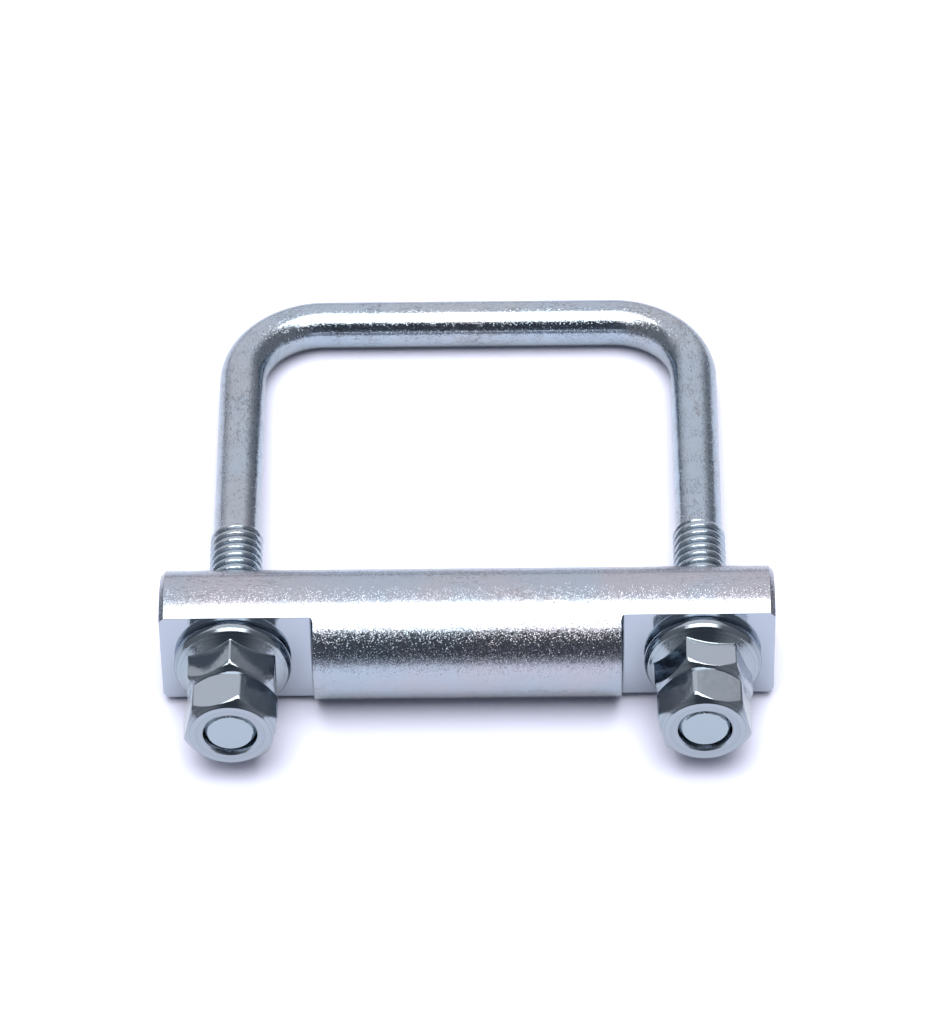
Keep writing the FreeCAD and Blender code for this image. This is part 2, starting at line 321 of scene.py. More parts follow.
class Graph:
    """The nodes of one material or world.

    Args:
        tree: The node tree, which is emptied first.
    """

    def __init__(self, tree: bpy.types.NodeTree) -> None:
        """Empties the tree."""
        self.tree = tree
        tree.nodes.clear()

    def node(self, kind: str, settings: dict[str, object], inputs: dict[str | int, object],
             output: str | int = 0) -> Signal:
        """Adds a node.

        Args:
            kind: The shader node's type.
            settings: What is set on the node itself.
            inputs: A value or a signal for each named or numbered socket.
            output: The socket that it is used by.

        Returns:
            That socket as a signal.
        """
        node = self.tree.nodes.new("ShaderNode" + kind)
        for name, value in settings.items():
            setattr(node, name, value)
        for name, value in inputs.items():
            if isinstance(value, Signal):
                self.tree.links.new(value.socket, node.inputs[name])
            else:
                node.inputs[name].default_value = value
        return Signal(self, node.outputs[output] if len(node.outputs) else None)

    def math(self, operation: str, *values: Value) -> Signal:
        """Adds a Math node."""
        return self.node("Math", {"operation": operation}, dict(enumerate(values)))

    def mix(self, share: Value, first: object, second: object) -> Signal:
        """Mixes two colours: share 0 is the first and 1 the second."""
        colours = [item if isinstance(item, Signal) else (*item, 1.0) for item in (first, second)]
        return self.node("Mix", {"data_type": "RGBA"}, {0: share, 6: colours[0], 7: colours[1]}, 2)

    def layered(self, colour: object, *layers: tuple[Value, object]) -> Signal:
        """Lays colours over a colour, each by its own share.

        Args:
            colour: What lies under them all.
            layers: The share and the colour of each, from the bottom up.

        Returns:
            The colour that is left to see.
        """
        for share, over in layers:
            colour = self.mix(share, colour, over)
        return colour

    def vector(self, operation: str, *values: object, output: int = 0) -> Signal:
        """Adds a Vector Math node."""
        return self.node("VectorMath", {"operation": operation},
                         dict(enumerate(values)), output)


@dataclass(frozen=True)
class Cloud:
    """Soft noise, and the clouds that a soft step makes of it.

    Args:
        size: Of its grain, in millimetres.
        low: The noise from 0 to 1 at which a cloud begins.
        high: The noise at which it is full.
        detail: How many finer layers the noise has.
        roughness: How strong each of them is.
        offset: Where the noise is taken, so that no two are alike.
    """

    size: float
    low: float = 0.0
    high: float = 1.0
    detail: float = 2.0
    roughness: float = 0.5
    offset: float = 0.0

    def noise(self, place: Signal) -> Signal:
        """Makes the noise.

        Args:
            place: Where on the piece, in millimetres.

        Returns:
            The noise from 0 to 1, before the step.
        """
        moved = place.graph.vector("ADD", place, (self.offset,) * 3)
        inputs = {"Vector": moved, "Scale": 1.0 / self.size, "Detail": self.detail,
                  "Roughness": self.roughness}
        return place.graph.node("TexNoise", {}, inputs, output="Fac")

    def cut(self, noise: Signal) -> Signal:
        """Makes clouds of a noise."""
        return noise.stepped(self.low, self.high)

    def on(self, place: Signal) -> Signal:
        """Gives the clouds."""
        return self.cut(self.noise(place))


PATCHES = Cloud(size=13.0, low=0.38, high=0.62, detail=3.0)
MOTTLE = Cloud(size=0.20, low=0.44, high=0.70, roughness=0.7, offset=31.0)
MOTTLED_PLACES = Cloud(size=4.0, low=0.38, high=0.62, offset=37.0)
SPECKS = Cloud(size=0.32, low=0.70, high=0.86, roughness=0.7, offset=5.0)
STAINED_PLACES = Cloud(size=7.0, low=0.40, high=0.60, offset=11.0)
FOLDS = Cloud(size=1.3, detail=3.0, roughness=0.6, offset=17.0)
VEINED_PLACES = Cloud(size=2.0, low=0.43, high=0.53, offset=23.0)


@dataclass(frozen=True)
class Zinc:
    """Bright zinc plate on one kind of steel surface. Lengths are in millimetres.

    Args:
        name: The material's name.
        colour: The plate's own colour.
        tint: The colour that it drifts to in wide soft patches.
        roughness: Of the plate between its grains.
        grain_size: Of the crystal facets that glint.
        grain_lean: How far the steepest facets lean, as a slope.
        patchiness: By how much the roughness drifts.
        pit_size: Of the soft pits of the steel under the plate.
        pit_height: How deep they are.
        stain: The colour of the handling stains.
        stain_amount: How dark they are, from 0 to 1.
        stain_stretch: How much longer stains and mottle are along the piece.
        stain_roughness: By how much the stains are rougher.
        gathering: How much the specks keep to the stained places.
        vein_width: Of the stains' thin veins, as a share of the noise.
        vein_strength: How dark they are beside the specks.
        mottle: How dark the fine mottle is, from 0 to 1.
        dull: The colour of the mottle.
        machined_change: By how much machined places are rougher.
        machined_colour: The plate's colour there.
        machined_pits: By what share the pits are deeper there.
    """

    name: str
    colour: Colour
    tint: Colour
    roughness: float
    grain_size: float
    grain_lean: float
    patchiness: float = 0.05
    pit_size: float = 0.30
    pit_height: float = 0.004
    stain: Colour = (0.20, 0.17, 0.15)
    stain_amount: float = 0.0
    stain_stretch: float = 1.0
    stain_roughness: float = 0.15
    gathering: float = 0.14
    vein_width: float = 0.03
    vein_strength: float = 0.6
    mottle: float = 0.0
    dull: Colour = (0.15, 0.17, 0.20)
    machined_change: float = -0.08
    machined_colour: Colour = (0.42, 0.46, 0.53)
    machined_pits: float = -1.0

    def material(self, centre: Vector) -> bpy.types.Material:
        """Builds the material.

        Args:
            centre: A place in the clamp's axes that the pattern is centred on.

        Returns:
            The material.
        """
        material = bpy.data.materials.new(self.name)
        material.use_nodes = True
        graph = Graph(material.node_tree)
        place = graph.node("Mapping", {"vector_type": "POINT"}, {
            "Vector": graph.node("TexCoord", {}, {}, output="Object"), "Location": -centre,
            "Rotation": TO_CLAMP.to_euler(), "Scale": TO_CLAMP.to_scale()})
        colour, roughness, height = self.surface(place)
        normal = graph.node("Bump", {}, {
            "Strength": 1.0, "Distance": MM, "Height": height,
            "Normal": self.facets(place)})
        shader = graph.node("BsdfPrincipled", {}, {
            "Base Color": colour, "Metallic": 1.0, "Roughness": roughness, "Normal": normal})
        graph.node("OutputMaterial", {}, {"Surface": shader})
        return material

    def surface(self, place: Signal) -> tuple[Signal, Signal, Signal]:
        """Works out the colour, the roughness and the height over the surface.

        Args:
            place: Where on the piece, in millimetres.

        Returns:
            The colour, the roughness and the height.
        """
        graph = place.graph
        patches = PATCHES.noise(place)
        pits = Cloud(self.pit_size, offset=3.0).noise(place)
        machined = self.machined(place)
        rough = 1.0 - machined
        drawn_out = self.drawn_out(place)
        mottled = MOTTLE.on(drawn_out) * MOTTLED_PLACES.on(place)
        stains = self.stains(drawn_out) * rough
        colour = graph.layered(self.colour, (PATCHES.cut(patches), self.tint),
                               (machined, self.machined_colour),
                               (mottled * rough * self.mottle, self.dull), (stains, self.stain))
        own = graph.math("ADD", self.roughness, machined * self.machined_change)
        roughness = (own + (patches - 0.5) * self.patchiness
                     + stains * self.stain_roughness)
        return colour, roughness, pits * (1.0 + machined * self.machined_pits) * self.pit_height

    def drawn_out(self, place: Signal) -> Signal:
        """Stretches the place for marks that drawing and rolling pull along the piece."""
        return place.graph.vector("DIVIDE", place, (self.stain_stretch, 1.0, 1.0))

    def machined(self, place: Signal) -> Value:
        """Tells the machined places, which are smooth, from the rest: 1 is machined."""
        return 0.0

    def facets(self, place: Signal) -> Signal:
        """Leans the surface's normal by crystal facets.

        Each leans by a seventh power, so that most stay flat and a few lean steeply.

        Args:
            place: Where on the piece, in millimetres.

        Returns:
            The normal.
        """
        graph = place.graph
        cells = graph.node("TexVoronoi", {}, {
            "Vector": place, "Scale": 1.0 / self.grain_size}, output="Color")
        spread = graph.vector("MULTIPLY_ADD", cells, (2.0, 2.0, 2.0), (-1.0, -1.0, -1.0))
        square = graph.vector("MULTIPLY", spread, spread)
        rare = graph.vector("MULTIPLY", graph.vector("MULTIPLY", square, square), spread)
        rare = graph.vector("MULTIPLY", rare, square)
        amount = self.grain_lean * (1.0 - self.machined(place))
        lean = graph.node("VectorMath", {"operation": "SCALE"}, {0: rare, "Scale": amount})
        straight = graph.node("NewGeometry", {}, {}, output="Normal")
        return graph.vector("NORMALIZE", graph.vector("ADD", straight, lean))

    def stains(self, place: Signal) -> Signal:
        """Small dark specks and thin veins that gather in clouds.

        Args:
            place: Where on the piece, drawn out along it.

        Returns:
            How dark they are, from 0 to 1.
        """
        clouds = STAINED_PLACES.on(place)
        specks = SPECKS.cut(clouds * self.gathering + SPECKS.noise(place))
        fold = abs(FOLDS.noise(place) - 0.5)
        veins = (1.0 - fold.stepped(0.0, self.vein_width)) * clouds
        veins = veins * VEINED_PLACES.on(place) * self.vein_strength
        return place.graph.math("MAXIMUM", specks, veins) * self.stain_amount


@dataclass(frozen=True)
class RodZinc(Zinc):
    """The finish of the U-bolt, whose tips and rolled threads are smoother than the drawn rod.

    Args:
        thread_grain: How much of the rod's grain the threads show.
        tip_fade: Distances behind the tips over which that comes in.
        rod_fade: Length of the threads' end over which the rod's grain comes in.
    """

    thread_grain: float = 0.7
    tip_fade: Span = (0.2, 0.6)
    rod_fade: float = 0.4

    def drawn_out(self, place: Signal) -> Signal:
        """Stretches the place along the bow or along the leg, whichever is nearer.

        Args:
            place: Where on the piece, in millimetres.

        Returns:
            The stretched place.
        """
        graph = place.graph
        along, up_the_leg, _ = place.axes()
        past_leg = abs(along) - LEG_X
        on_bow = graph.math("GREATER_THAN", up_the_leg - BOW_Y, past_leg)
        bow = graph.vector("DIVIDE", place, (self.stain_stretch, 1.0, 1.0))
        leg = graph.vector("DIVIDE", place, (1.0, self.stain_stretch, 1.0))
        return graph.mix(on_bow, leg, bow)

    def machined(self, place: Signal) -> Value:
        """The tips, and the threads in part.

        Args:
            place: Where on the piece, in millimetres.

        Returns:
            1 on the tips, less on the threads and 0 on the plain rod.
        """
        _, up_the_leg, _ = place.axes()
        thread = (up_the_leg - TIP_Y).stepped(*self.tip_fade) * self.thread_grain
        rod = up_the_leg.stepped(THREAD_END_Y - self.rod_fade, THREAD_END_Y)
        return 1.0 - thread - rod * (1.0 - self.thread_grain)


@dataclass(frozen=True)
class BarZinc(Zinc):
    """The finish of the clamp bar, whose milled flats are smoother than the round.

    Args:
        overlap: How far the smooth finish goes past the shoulder and up from the flat.
    """

    overlap: Span = (0.1, 0.15)

    def machined(self, place: Signal) -> Value:
        """The milled flats.

        Args:
            place: Where on the piece, in millimetres.

        Returns:
            1 on the flats and 0 elsewhere.
        """
        graph = place.graph
        along, up, _ = place.axes()
        beyond = graph.math("GREATER_THAN", abs(along), SHOULDER_X - self.overlap[0])
        return beyond * graph.math("LESS_THAN", up, FLAT_Y + self.overlap[1])


@dataclass(frozen=True)
class NutZinc(Zinc):
    """The finish of the nuts, with the rings that turning left on their faces.

    Args:
        rings: Their spacing, and where between them they are dull.
        ring_height: How far they stand up.
        ring_shade: How dull they are, from 0 to 1.
        ring_drift: How fast they change along the nut, as a share of how fast across it.
        facing: How straight along the leg a face looks where they turn dull.
    """

    rings: Cloud = Cloud(size=0.35, low=0.48, high=0.62, detail=1.0, offset=2.0)
    ring_height: float = 0.04
    ring_shade: float = 0.30
    ring_drift: float = 0.2
    facing: Span = (0.2, 0.5)

    def surface(self, place: Signal) -> tuple[Signal, Signal, Signal]:
        """Adds the turning rings to the plate.

        Args:
            place: Where on the piece, in millimetres.

        Returns:
            The colour, the roughness and the height.
        """
        graph = place.graph
        colour, roughness, height = super().surface(place)
        across, along, up = place.axes()
        flat_place = graph.node("CombineXYZ", {}, {0: across, 2: up})
        radius = graph.vector("LENGTH", flat_place, output=1)
        around = graph.node("CombineXYZ", {}, {0: radius, 1: along * self.ring_drift})
        rings = self.rings.noise(around)
        _, forward, _ = graph.node("TexCoord", {}, {}, output="Normal").axes()
        turned = abs(forward).stepped(*self.facing)
        dulled = self.rings.cut(rings) * turned * self.ring_shade
        colour = graph.mix(dulled, colour, self.dull)
        return colour, roughness, height + rings * self.ring_height


# -------- the pieces

class Part:
    """What every piece of the clamp shares. Each kind has a finish and builds its own mesh.

    Attributes:
        sharp_angle: In degrees, the turn past which an edge stays sharp.
        finish: The plate on the piece's own steel.
    """

    sharp_angle = 50.0
    finish: Zinc

    def build(self) -> Piece:
        """Models the piece."""
        raise NotImplementedError

    @property
    def centre(self) -> Vector:
        """The place in the clamp's axes that the pattern of the finish is centred on."""
        return Vector()

    def dress(self, piece: Piece) -> None:
        """Gives the piece its finish, flats that look flat, and crisp corners.

        Args:
            piece: The piece.
        """
        piece.data.materials.append(self.finish.material(self.centre))
        mesh = bmesh.new()
        mesh.from_mesh(piece.data)
        for edge in mesh.edges:
            edge.smooth = edge.calc_face_angle(0.0) < math.radians(self.sharp_angle)
        mesh.to_mesh(piece.data)
        mesh.free()
        even = piece.modifiers.new("even_normals", "WEIGHTED_NORMAL")
        even.keep_sharp = True
        even.weight = 80


# -------- the U-bolt

@dataclass(frozen=True)
class Thread:
    """A rolled thread on one leg. Lengths are in millimetres.

    Args:
        tip: The Y of the leg's tip.
        end: The Y where the plain rod begins.
        rod_radius: Radius of the plain rod.
        crest_radius: Outside radius.
        root_radius: Radius at the bottom of the groove.
        pitch: From crest to crest.
        crest_run_out: Length over which the crest comes down to the plain rod.
        root_run_out: Length over which the groove fades out.
        groove: Share of the pitch that the groove takes between the crests.
        crown: How far the crests fall off from their middles, as a share of the depth.
        tip_chamfer: At the tip, 45 degrees.
    """

    tip: float = TIP_Y
    end: float = THREAD_END_Y
    rod_radius: float = 3.515
    crest_radius: float = 3.925
    root_radius: float = 3.17
    pitch: float = 25.4 / 18
    crest_run_out: float = 0.45
    root_run_out: float = 1.8
    groove: float = 0.44
    crown: float = 0.36
    tip_chamfer: float = 0.65
    steps_per_turn: int = 48
    rows_per_pitch: int = 14

    def height(self, phase: float) -> float:
        """How far up the groove the profile stands at a phase from 0 to 1: 0 root, 1 crest."""
        from_root = 1.0 - abs(2.0 * phase - 1.0)
        return soft(from_root / self.groove) * (1.0 - self.crown * (1.0 - from_root) ** 2)

    @property
    def start(self) -> float:
        """The Y where the blank begins, two turns before the tip."""
        return self.tip - 2 * self.pitch

    def skin(self) -> Mesh:
        """Makes the leg's thread, round the Y axis.

        Returns:
            A mesh that is closed at the tip and open at the rod.
        """
        mesh = bmesh.new()
        rows = [mesh.verts.new((self.rod_radius,
                                self.start + self.pitch * row / self.rows_per_pitch, 0))
                for row in range(self.rows_per_pitch + 1)]
        edges = [mesh.edges.new(pair) for pair in zip(rows, rows[1:])]
        bmesh.ops.spin(mesh, geom=rows + edges, cent=(0, 0, 0), axis=(0, 1, 0),
                       dvec=(0, self.pitch / self.steps_per_turn, 0),
                       angle=FULL_TURN, steps=self.steps_per_turn, use_merge=False)
        turns = 1
        while turns * self.pitch < self.end - self.start + self.pitch:
            copied = bmesh.ops.duplicate(mesh, geom=everything(mesh))["geom"]
            bmesh.ops.translate(mesh, verts=vertices_of(copied),
                                vec=(0, turns * self.pitch, 0))
            turns *= 2
        bmesh.ops.remove_doubles(mesh, verts=mesh.verts, dist=WELD)
        self.cut_off(mesh, self.tip, beyond=-1)
        self.cut_off(mesh, self.end, beyond=1)
        for vertex in mesh.verts:
            self.roll(vertex)
        self.square_up(mesh)
        tip_edges = circle_edges(mesh, lambda place: place.y < self.tip + WELD)
        bmesh.ops.edgeloop_fill(mesh, edges=tip_edges)
        return mesh

    @staticmethod
    def cut_off(mesh: Mesh, y: float, beyond: int) -> None:
        """Cuts away the part of a mesh past a plane across the leg."""
        bmesh.ops.bisect_plane(mesh, geom=everything(mesh), plane_co=(0, y, 0),
                               plane_no=(0, beyond, 0), clear_outer=True)

    def roll(self, vertex: bmesh.types.BMVert) -> None:
        """Presses a point of the blank in or out to the thread's form.

        Args:
            vertex: The point, which is moved.
        """
        turn = math.atan2(-vertex.co.z, vertex.co.x)
        phase = ((vertex.co.y - self.start) / self.pitch - turn / FULL_TURN) % 1.0
        left = self.end - vertex.co.y
        crest = self.crest_radius - self.rod_radius
        crest = self.rod_radius + crest * soft(left / self.crest_run_out)
        root = crest + (self.root_radius - crest) * soft(left / self.root_run_out)
        radius = root + (crest - root) * self.height(phase)
        chamfered = self.crest_radius - self.tip_chamfer + max(vertex.co.y - self.tip, 0.0)
        radius = min(radius, chamfered)
        level = Vector((vertex.co.x, 0, vertex.co.z)).normalized() * radius
        vertex.co = (level.x, vertex.co.y, level.z)

    def square_up(self, mesh: Mesh) -> None:
        """Moves the open end's points to even steps round the rod, so that the rod fits on.

        Args:
            mesh: The thread, round the Y axis.
        """
        step = FULL_TURN / self.steps_per_turn
        for edge in circle_edges(mesh, lambda place: place.y > self.end - WELD):
            for vertex in edge.verts:
                radius = math.hypot(vertex.co.x, vertex.co.z)
                turn = round(math.atan2(vertex.co.z, vertex.co.x) / step) * step
                vertex.co.x = radius * math.cos(turn)
                vertex.co.z = radius * math.sin(turn)
        bmesh.ops.remove_doubles(mesh, verts=mesh.verts, dist=WELD)


@dataclass
class UBolt(Part):
    """The bent rod with a thread on each leg. Lengths are in millimetres."""

    leg_x: float
    leg_z: float
    bow_y: float = BOW_Y
    bend_radius: float = 12.3
    bend_steps: int = 24
    bow_steps: int = 12
    thread: Thread = Thread()
    finish: Zinc = RodZinc(
        name="zinc_on_rod", colour=(0.40, 0.475, 0.55), tint=(0.42, 0.46, 0.51),
        roughness=0.10, grain_size=0.10, grain_lean=0.24,
        stain=(0.17, 0.155, 0.145), stain_amount=0.75, stain_stretch=3.0,
        mottle=0.60, machined_change=0.03,
        machined_colour=(0.39, 0.455, 0.50), machined_pits=14.0)

    def build(self) -> Piece:
        """Models the rod: half of it with a thread, and the same half turned to the other leg.

        Returns:
            The piece.
        """
        rod = Blank(self.thread.steps_per_turn)
        for ring in self.half_rod():
            rod.draw(ring)
        half = rod.mesh
        thread = self.thread.skin()
        bmesh.ops.translate(thread, verts=thread.verts, vec=(-self.leg_x, 0, self.leg_z))
        loose = bpy.data.meshes.new("thread")
        thread.to_mesh(loose)
        thread.free()
        half.from_mesh(loose)
        bpy.data.meshes.remove(loose)
        other = bmesh.ops.duplicate(half, geom=everything(half))["geom"]
        bmesh.ops.rotate(half, cent=(0, 0, self.leg_z), verts=vertices_of(other),
                         matrix=Matrix.Rotation(math.pi, 3, "Y"))
        rod.tidy()
        piece = set_down(half, "u_bolt_rod")
        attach(piece, "u_bolt")
        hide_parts("u_bolt")
        return piece

    def half_rod(self) -> list[list[Vector]]:
        """Lists the rings of the plain rod from the left thread to the middle of the bow.

        Returns:
            The rings, each as its points in order.
        """
        bend_y = self.bow_y - self.bend_radius
        bend_x = -self.leg_x + self.bend_radius
        stations = [(-self.leg_x, self.thread.end, 0.0), (-self.leg_x, bend_y, 0.0)]
        for step in range(1, self.bend_steps + 1):
            turn = QUARTER_TURN * step / self.bend_steps
            x = bend_x - self.bend_radius * math.cos(turn)
            y = bend_y + self.bend_radius * math.sin(turn)
            stations.append((x, y, turn))
        for step in range(1, self.bow_steps + 1):
            stations.append((bend_x * (1 - step / self.bow_steps), self.bow_y, QUARTER_TURN))
        return [self.ring(*station) for station in stations]

    def ring(self, x: float, y: float, turn: float) -> list[Vector]:
        """Gives the rod's section at a place of its path that has turned from the leg.

        Args:
            x: Of the section's middle.
            y: Of the section's middle.
            turn: In radians.

        Returns:
            The section's points in order.
        """
        across = Vector((math.cos(turn), -math.sin(turn), 0))
        up = Vector((0, 0, 1))
        centre = Vector((x, y, self.leg_z))
        steps = self.thread.steps_per_turn
        angles = [FULL_TURN * step / steps for step in range(steps)]
        return [centre + (across * math.cos(angle) + up * math.sin(angle)) * self.thread.rod_radius
                for angle in angles]


# -------- the clamp bar

@dataclass(frozen=True)
class Slice:
    """A cross-section of the bar.

    Args:
        x: How far along the bar it is.
        radius: Of its round side.
        flat: How far below the axis its flat lies. The wall's columns keep to this flat too.
        is_round: True where the section is still a full circle.
        worn: How far the lower side of a round section is rounded off.
    """

    x: float
    radius: float
    flat: float
    is_round: bool = False
    worn: float = 0.0


@dataclass
class ClampBar(Part):
    """The round bar with a milled flat and a hole at each end. Lengths are in millimetres.

    Args:
        flat: How far below the axis the flats lie.
        shoulder_x: How far from the middle they begin.
        cap_columns: How many steps a section takes across the flat.
        round_columns: How many it takes round the rest.
    """

    sharp_angle = 40.0
    leg_x: float
    half_length: float
    radius: float = 9.525
    flat: float = -FLAT_Y
    shoulder_x: float = SHOULDER_X
    end_chamfer: float = 0.7
    fillet: float = 0.5
    fillet_steps: int = 5
    hole_radius: float = 4.75
    hole_columns: int = 96
    edge: float = 0.12
    edge_steps: int = 2
    cap_columns: int = 40
    round_columns: int = 112
    finish: Zinc = BarZinc(
        name="zinc_on_bar", colour=(0.40, 0.46, 0.53), tint=(0.445, 0.45, 0.50),
        roughness=0.17, grain_size=0.085, grain_lean=0.36, pit_height=0.0024,
        stain_amount=0.70, stain_stretch=3.0, mottle=0.08,
        machined_colour=(0.46, 0.505, 0.575))

    def build(self) -> Piece:
        """Models one half of the bar, mirrors it and drills it.

        Returns:
            The piece.
        """
        bar = Blank(len(self.section(Slice(0, self.radius, self.flat))))
        for item in self.slices():
            bar.draw(self.section(item))
        bmesh.ops.edgeloop_fill(bar.mesh, edges=bar.edges)
        bar.tidy()
        bmesh.ops.mirror(bar.mesh, geom=everything(bar.mesh), axis="X", merge_dist=WELD)
        bar.tidy()
        piece = set_down(bar.mesh, "clamp_bar_body")
        self.drill(piece)
        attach(piece, "clamp_bar")
        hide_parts("clamp_bar")
        return piece

    def slices(self) -> list[Slice]:
        """Lists the sections from the bar's middle to its end.

        Returns:
            The sections in order.
        """
        edge = self.edge
        wall = self.flat + self.fillet
        slices = [Slice(0, self.radius, wall, is_round=True),
                  Slice(self.shoulder_x / 2, self.radius, wall, is_round=True)]
        for step in range(self.edge_steps + 1):
            turn = QUARTER_TURN * step / self.edge_steps
            slices.append(Slice(self.shoulder_x - edge * (1 - math.sin(turn)), self.radius, wall,
                                is_round=True, worn=edge * (1 - math.cos(turn))))
        for step in range(self.fillet_steps + 1):
            turn = QUARTER_TURN * step / self.fillet_steps
            slices.append(Slice(self.shoulder_x + self.fillet * (1 - math.cos(turn)),
                                self.radius, wall - self.fillet * math.sin(turn)))
        rim = rounded([
            Corner(self.half_length - 2 * self.end_chamfer, self.radius),
            Corner(self.half_length - self.end_chamfer, self.radius, edge),
            Corner(self.half_length, self.radius - self.end_chamfer, edge),
            Corner(self.half_length, 0)])
        for x, radius in rim[:-1]:
            inside = max(x - (self.half_length - edge), 0.0)
            drop = edge - math.sqrt(max(edge * edge - inside * inside, 0.0))
            slices.append(Slice(min(x, self.half_length), radius, self.flat - drop))
        return slices

    def section(self, item: Slice) -> list[Vector]:
        """Gives the points of a section, from one corner of the flat round to itself.

        Args:
            item: The section.

        Returns:
            The points in order.
        """
        half_width = math.sqrt(item.radius ** 2 - item.flat ** 2)
        corner_turn = math.atan2(half_width, item.flat)
        outline: list[Corner] = []
        for column in range(self.cap_columns + 1):
            z = half_width * (1 - 2 * column / self.cap_columns)
            y = -item.flat
            if item.is_round:
                y = min(-math.sqrt(item.radius ** 2 - z * z) + item.worn, -item.flat)
            at_corner = column in (0, self.cap_columns)
            outline.append(Corner(y, z, self.edge if at_corner else 0.0))
        for column in range(1, self.round_columns):
            share = column / self.round_columns
            turn = corner_turn + (FULL_TURN - 2 * corner_turn) * share
            outline.append(Corner(-item.radius * math.cos(turn), -item.radius * math.sin(turn)))
        # The outline starts and ends away from the flat's corners, so both get rounded.
        middle = self.cap_columns // 2
        loop = outline[middle:] + outline[:middle + 1]
        return [Vector((item.x, y, z)) for y, z in rounded(loop)[:-1]]

    def drill(self, piece: Piece) -> None:
        """Cuts the legs' holes.

        Args:
            piece: The bar, in the frame.
        """
        drills = bmesh.new()
        for x in (-self.leg_x, self.leg_x):
            matrix = Matrix.Translation((x, 0, 0)) @ Matrix.Rotation(QUARTER_TURN, 4, "X")
            bmesh.ops.create_cone(drills, cap_ends=True, segments=self.hole_columns,
                                  radius1=self.hole_radius, radius2=self.hole_radius,
                                  depth=3 * self.radius, matrix=matrix)
        tool = set_down(drills, "drill")
        cut = piece.modifiers.new("holes", "BOOLEAN")
        cut.operation = "DIFFERENCE"
        cut.solver = "EXACT"
        cut.object = tool
        depsgraph = bpy.context.evaluated_depsgraph_get()
        data = bpy.data.meshes.new_from_object(piece.evaluated_get(depsgraph))
        piece.modifiers.clear()
        data.name = piece.name
        piece.data = data
        bpy.data.objects.remove(tool)


# -------- the nuts

@dataclass
class HexNut(Part):
    """What the two kinds of nut share. Lengths are in millimetres.

    Args:
        name: The CAD node, the body and the start of the piece's name.
        seat: Where the nut's rear face stands on its leg, in the clamp's axes.
        lean: In degrees, of its upper corner, clockwise as it is seen from the front.
        face_inset: How far inside the flats the front face ends.
        corner_wear: By how much more its edge is worn towards a corner.
    """

    name: str
    seat: Vector
    lean: float
    height: float = 8.0
    apothem: float = 6.35
    corner_rounding: float = 0.35
    face_inset: float = 0.55
    chamfer_angle: float = 40.0
    bore_radius: float = 3.975
    countersink: float = 0.35
    countersink_angle: float = 30.0
    corner_wear: float = 1.1
    edge: float = 0.10
    flat_steps: int = 8
    corner_steps: int = 4
    finish: Zinc = NutZinc(
        name="zinc_on_nut", colour=(0.365, 0.425, 0.47), tint=(0.38, 0.42, 0.47),
        roughness=0.11, grain_size=0.10, grain_lean=0.06,
        stain_amount=0.10)

    @property
    def mouth(self) -> float:
        """Radius of the countersinks' mouths."""
        return self.bore_radius + self.countersink

    @property
    def face_radius(self) -> float:
        """Radius of the flat front face."""
        return self.apothem - self.face_inset

    def chamfer(self, flat_radius: float) -> tuple[float, float]:
        """Gives how far a face's chamfer goes down the side, and how worn its edge is."""
        drop = (flat_radius - self.face_radius) * math.tan(math.radians(self.chamfer_angle))
        return drop, self.edge + self.corner_wear * (flat_radius - self.apothem)

    def front_and_bore(self, flat_radius: float) -> list[Corner]:
        """Gives what every nut ends with: chamfered corner, front face and bore.

        Args:
            flat_radius: How far from the nut's axis its side stands there.

        Returns:
            The corners of the outline in order.
        """
        drop, worn = self.chamfer(flat_radius)
        sink = self.countersink * math.tan(math.radians(self.countersink_angle))
        return [Corner(flat_radius, self.height - drop, worn),
                Corner(self.face_radius, self.height, self.edge),
                Corner(self.mouth, self.height, self.edge / 2),
                Corner(self.bore_radius, self.height - sink),
                Corner(self.bore_radius, sink),
                Corner(self.mouth, 0)]

    def outline(self, flat_radius: float) -> list[Point]:
        """Gives the half-section, as radius and height, where the side stands at a radius."""
        raise NotImplementedError

    def spokes(self) -> list[Point]:
        """Lists each column's turn and the radius of the hexagon there.

        Returns:
            Turns in radians from the upper corner, and radii, once round the nut.
        """
        half_flat = math.pi / 6
        inner = self.apothem - self.corner_rounding
        centre_radius = inner / math.cos(half_flat)
        flat_end = math.atan2(inner * math.tan(half_flat), self.apothem)
        half: list[Point] = []
        for step in range(self.flat_steps):
            turn = flat_end * step / self.flat_steps
            half.append((turn, self.apothem / math.cos(turn)))
        for step in range(self.corner_steps + 1):
            turn = flat_end + (half_flat - flat_end) * step / self.corner_steps
            off = half_flat - turn
            along = centre_radius * math.cos(off)
            reach = math.sqrt(self.corner_rounding ** 2 - (centre_radius * math.sin(off)) ** 2)
            half.append((turn, along + reach))
        sector = half + [(2 * half_flat - turn, radius) for turn, radius in half[-2:0:-1]]
        return [(turn + 2 * half_flat * flat - half_flat, radius)
                for flat in range(6) for turn, radius in sector]

    def build(self) -> Piece:
        """Models the nut ring by ring, up the outside and back down the bore.

        Returns:
            The piece.
        """
        spokes = self.spokes()
        outlines = [self.outline(radius) for _, radius in spokes]
        nut = Blank(len(spokes))
        for station in range(len(outlines[0])):
            nut.draw([self.place(turn, *outline[station])
                      for (turn, _), outline in zip(spokes, outlines)])
        nut.tidy()
        piece = set_down(nut.mesh, f"{self.name}_body")
        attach(piece, self.name)
        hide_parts(self.name)
        return piece

    def place(self, turn: float, radius: float, height: float) -> Vector:
        """Sets a point of the nut on its leg, with the front face towards -Y.

        Args:
            turn: In radians from the upper corner.
            radius: From the nut's axis.
            height: From its rear face.

        Returns:
            The place in the clamp's axes.
        """
        angle = turn + math.radians(self.lean)
        away = Vector((math.sin(angle), 0, math.cos(angle))) * radius
        return self.seat + away + Vector((0, -height, 0))

    @property
    def centre(self) -> Vector:
        """The nut's own seat."""
        return self.seat


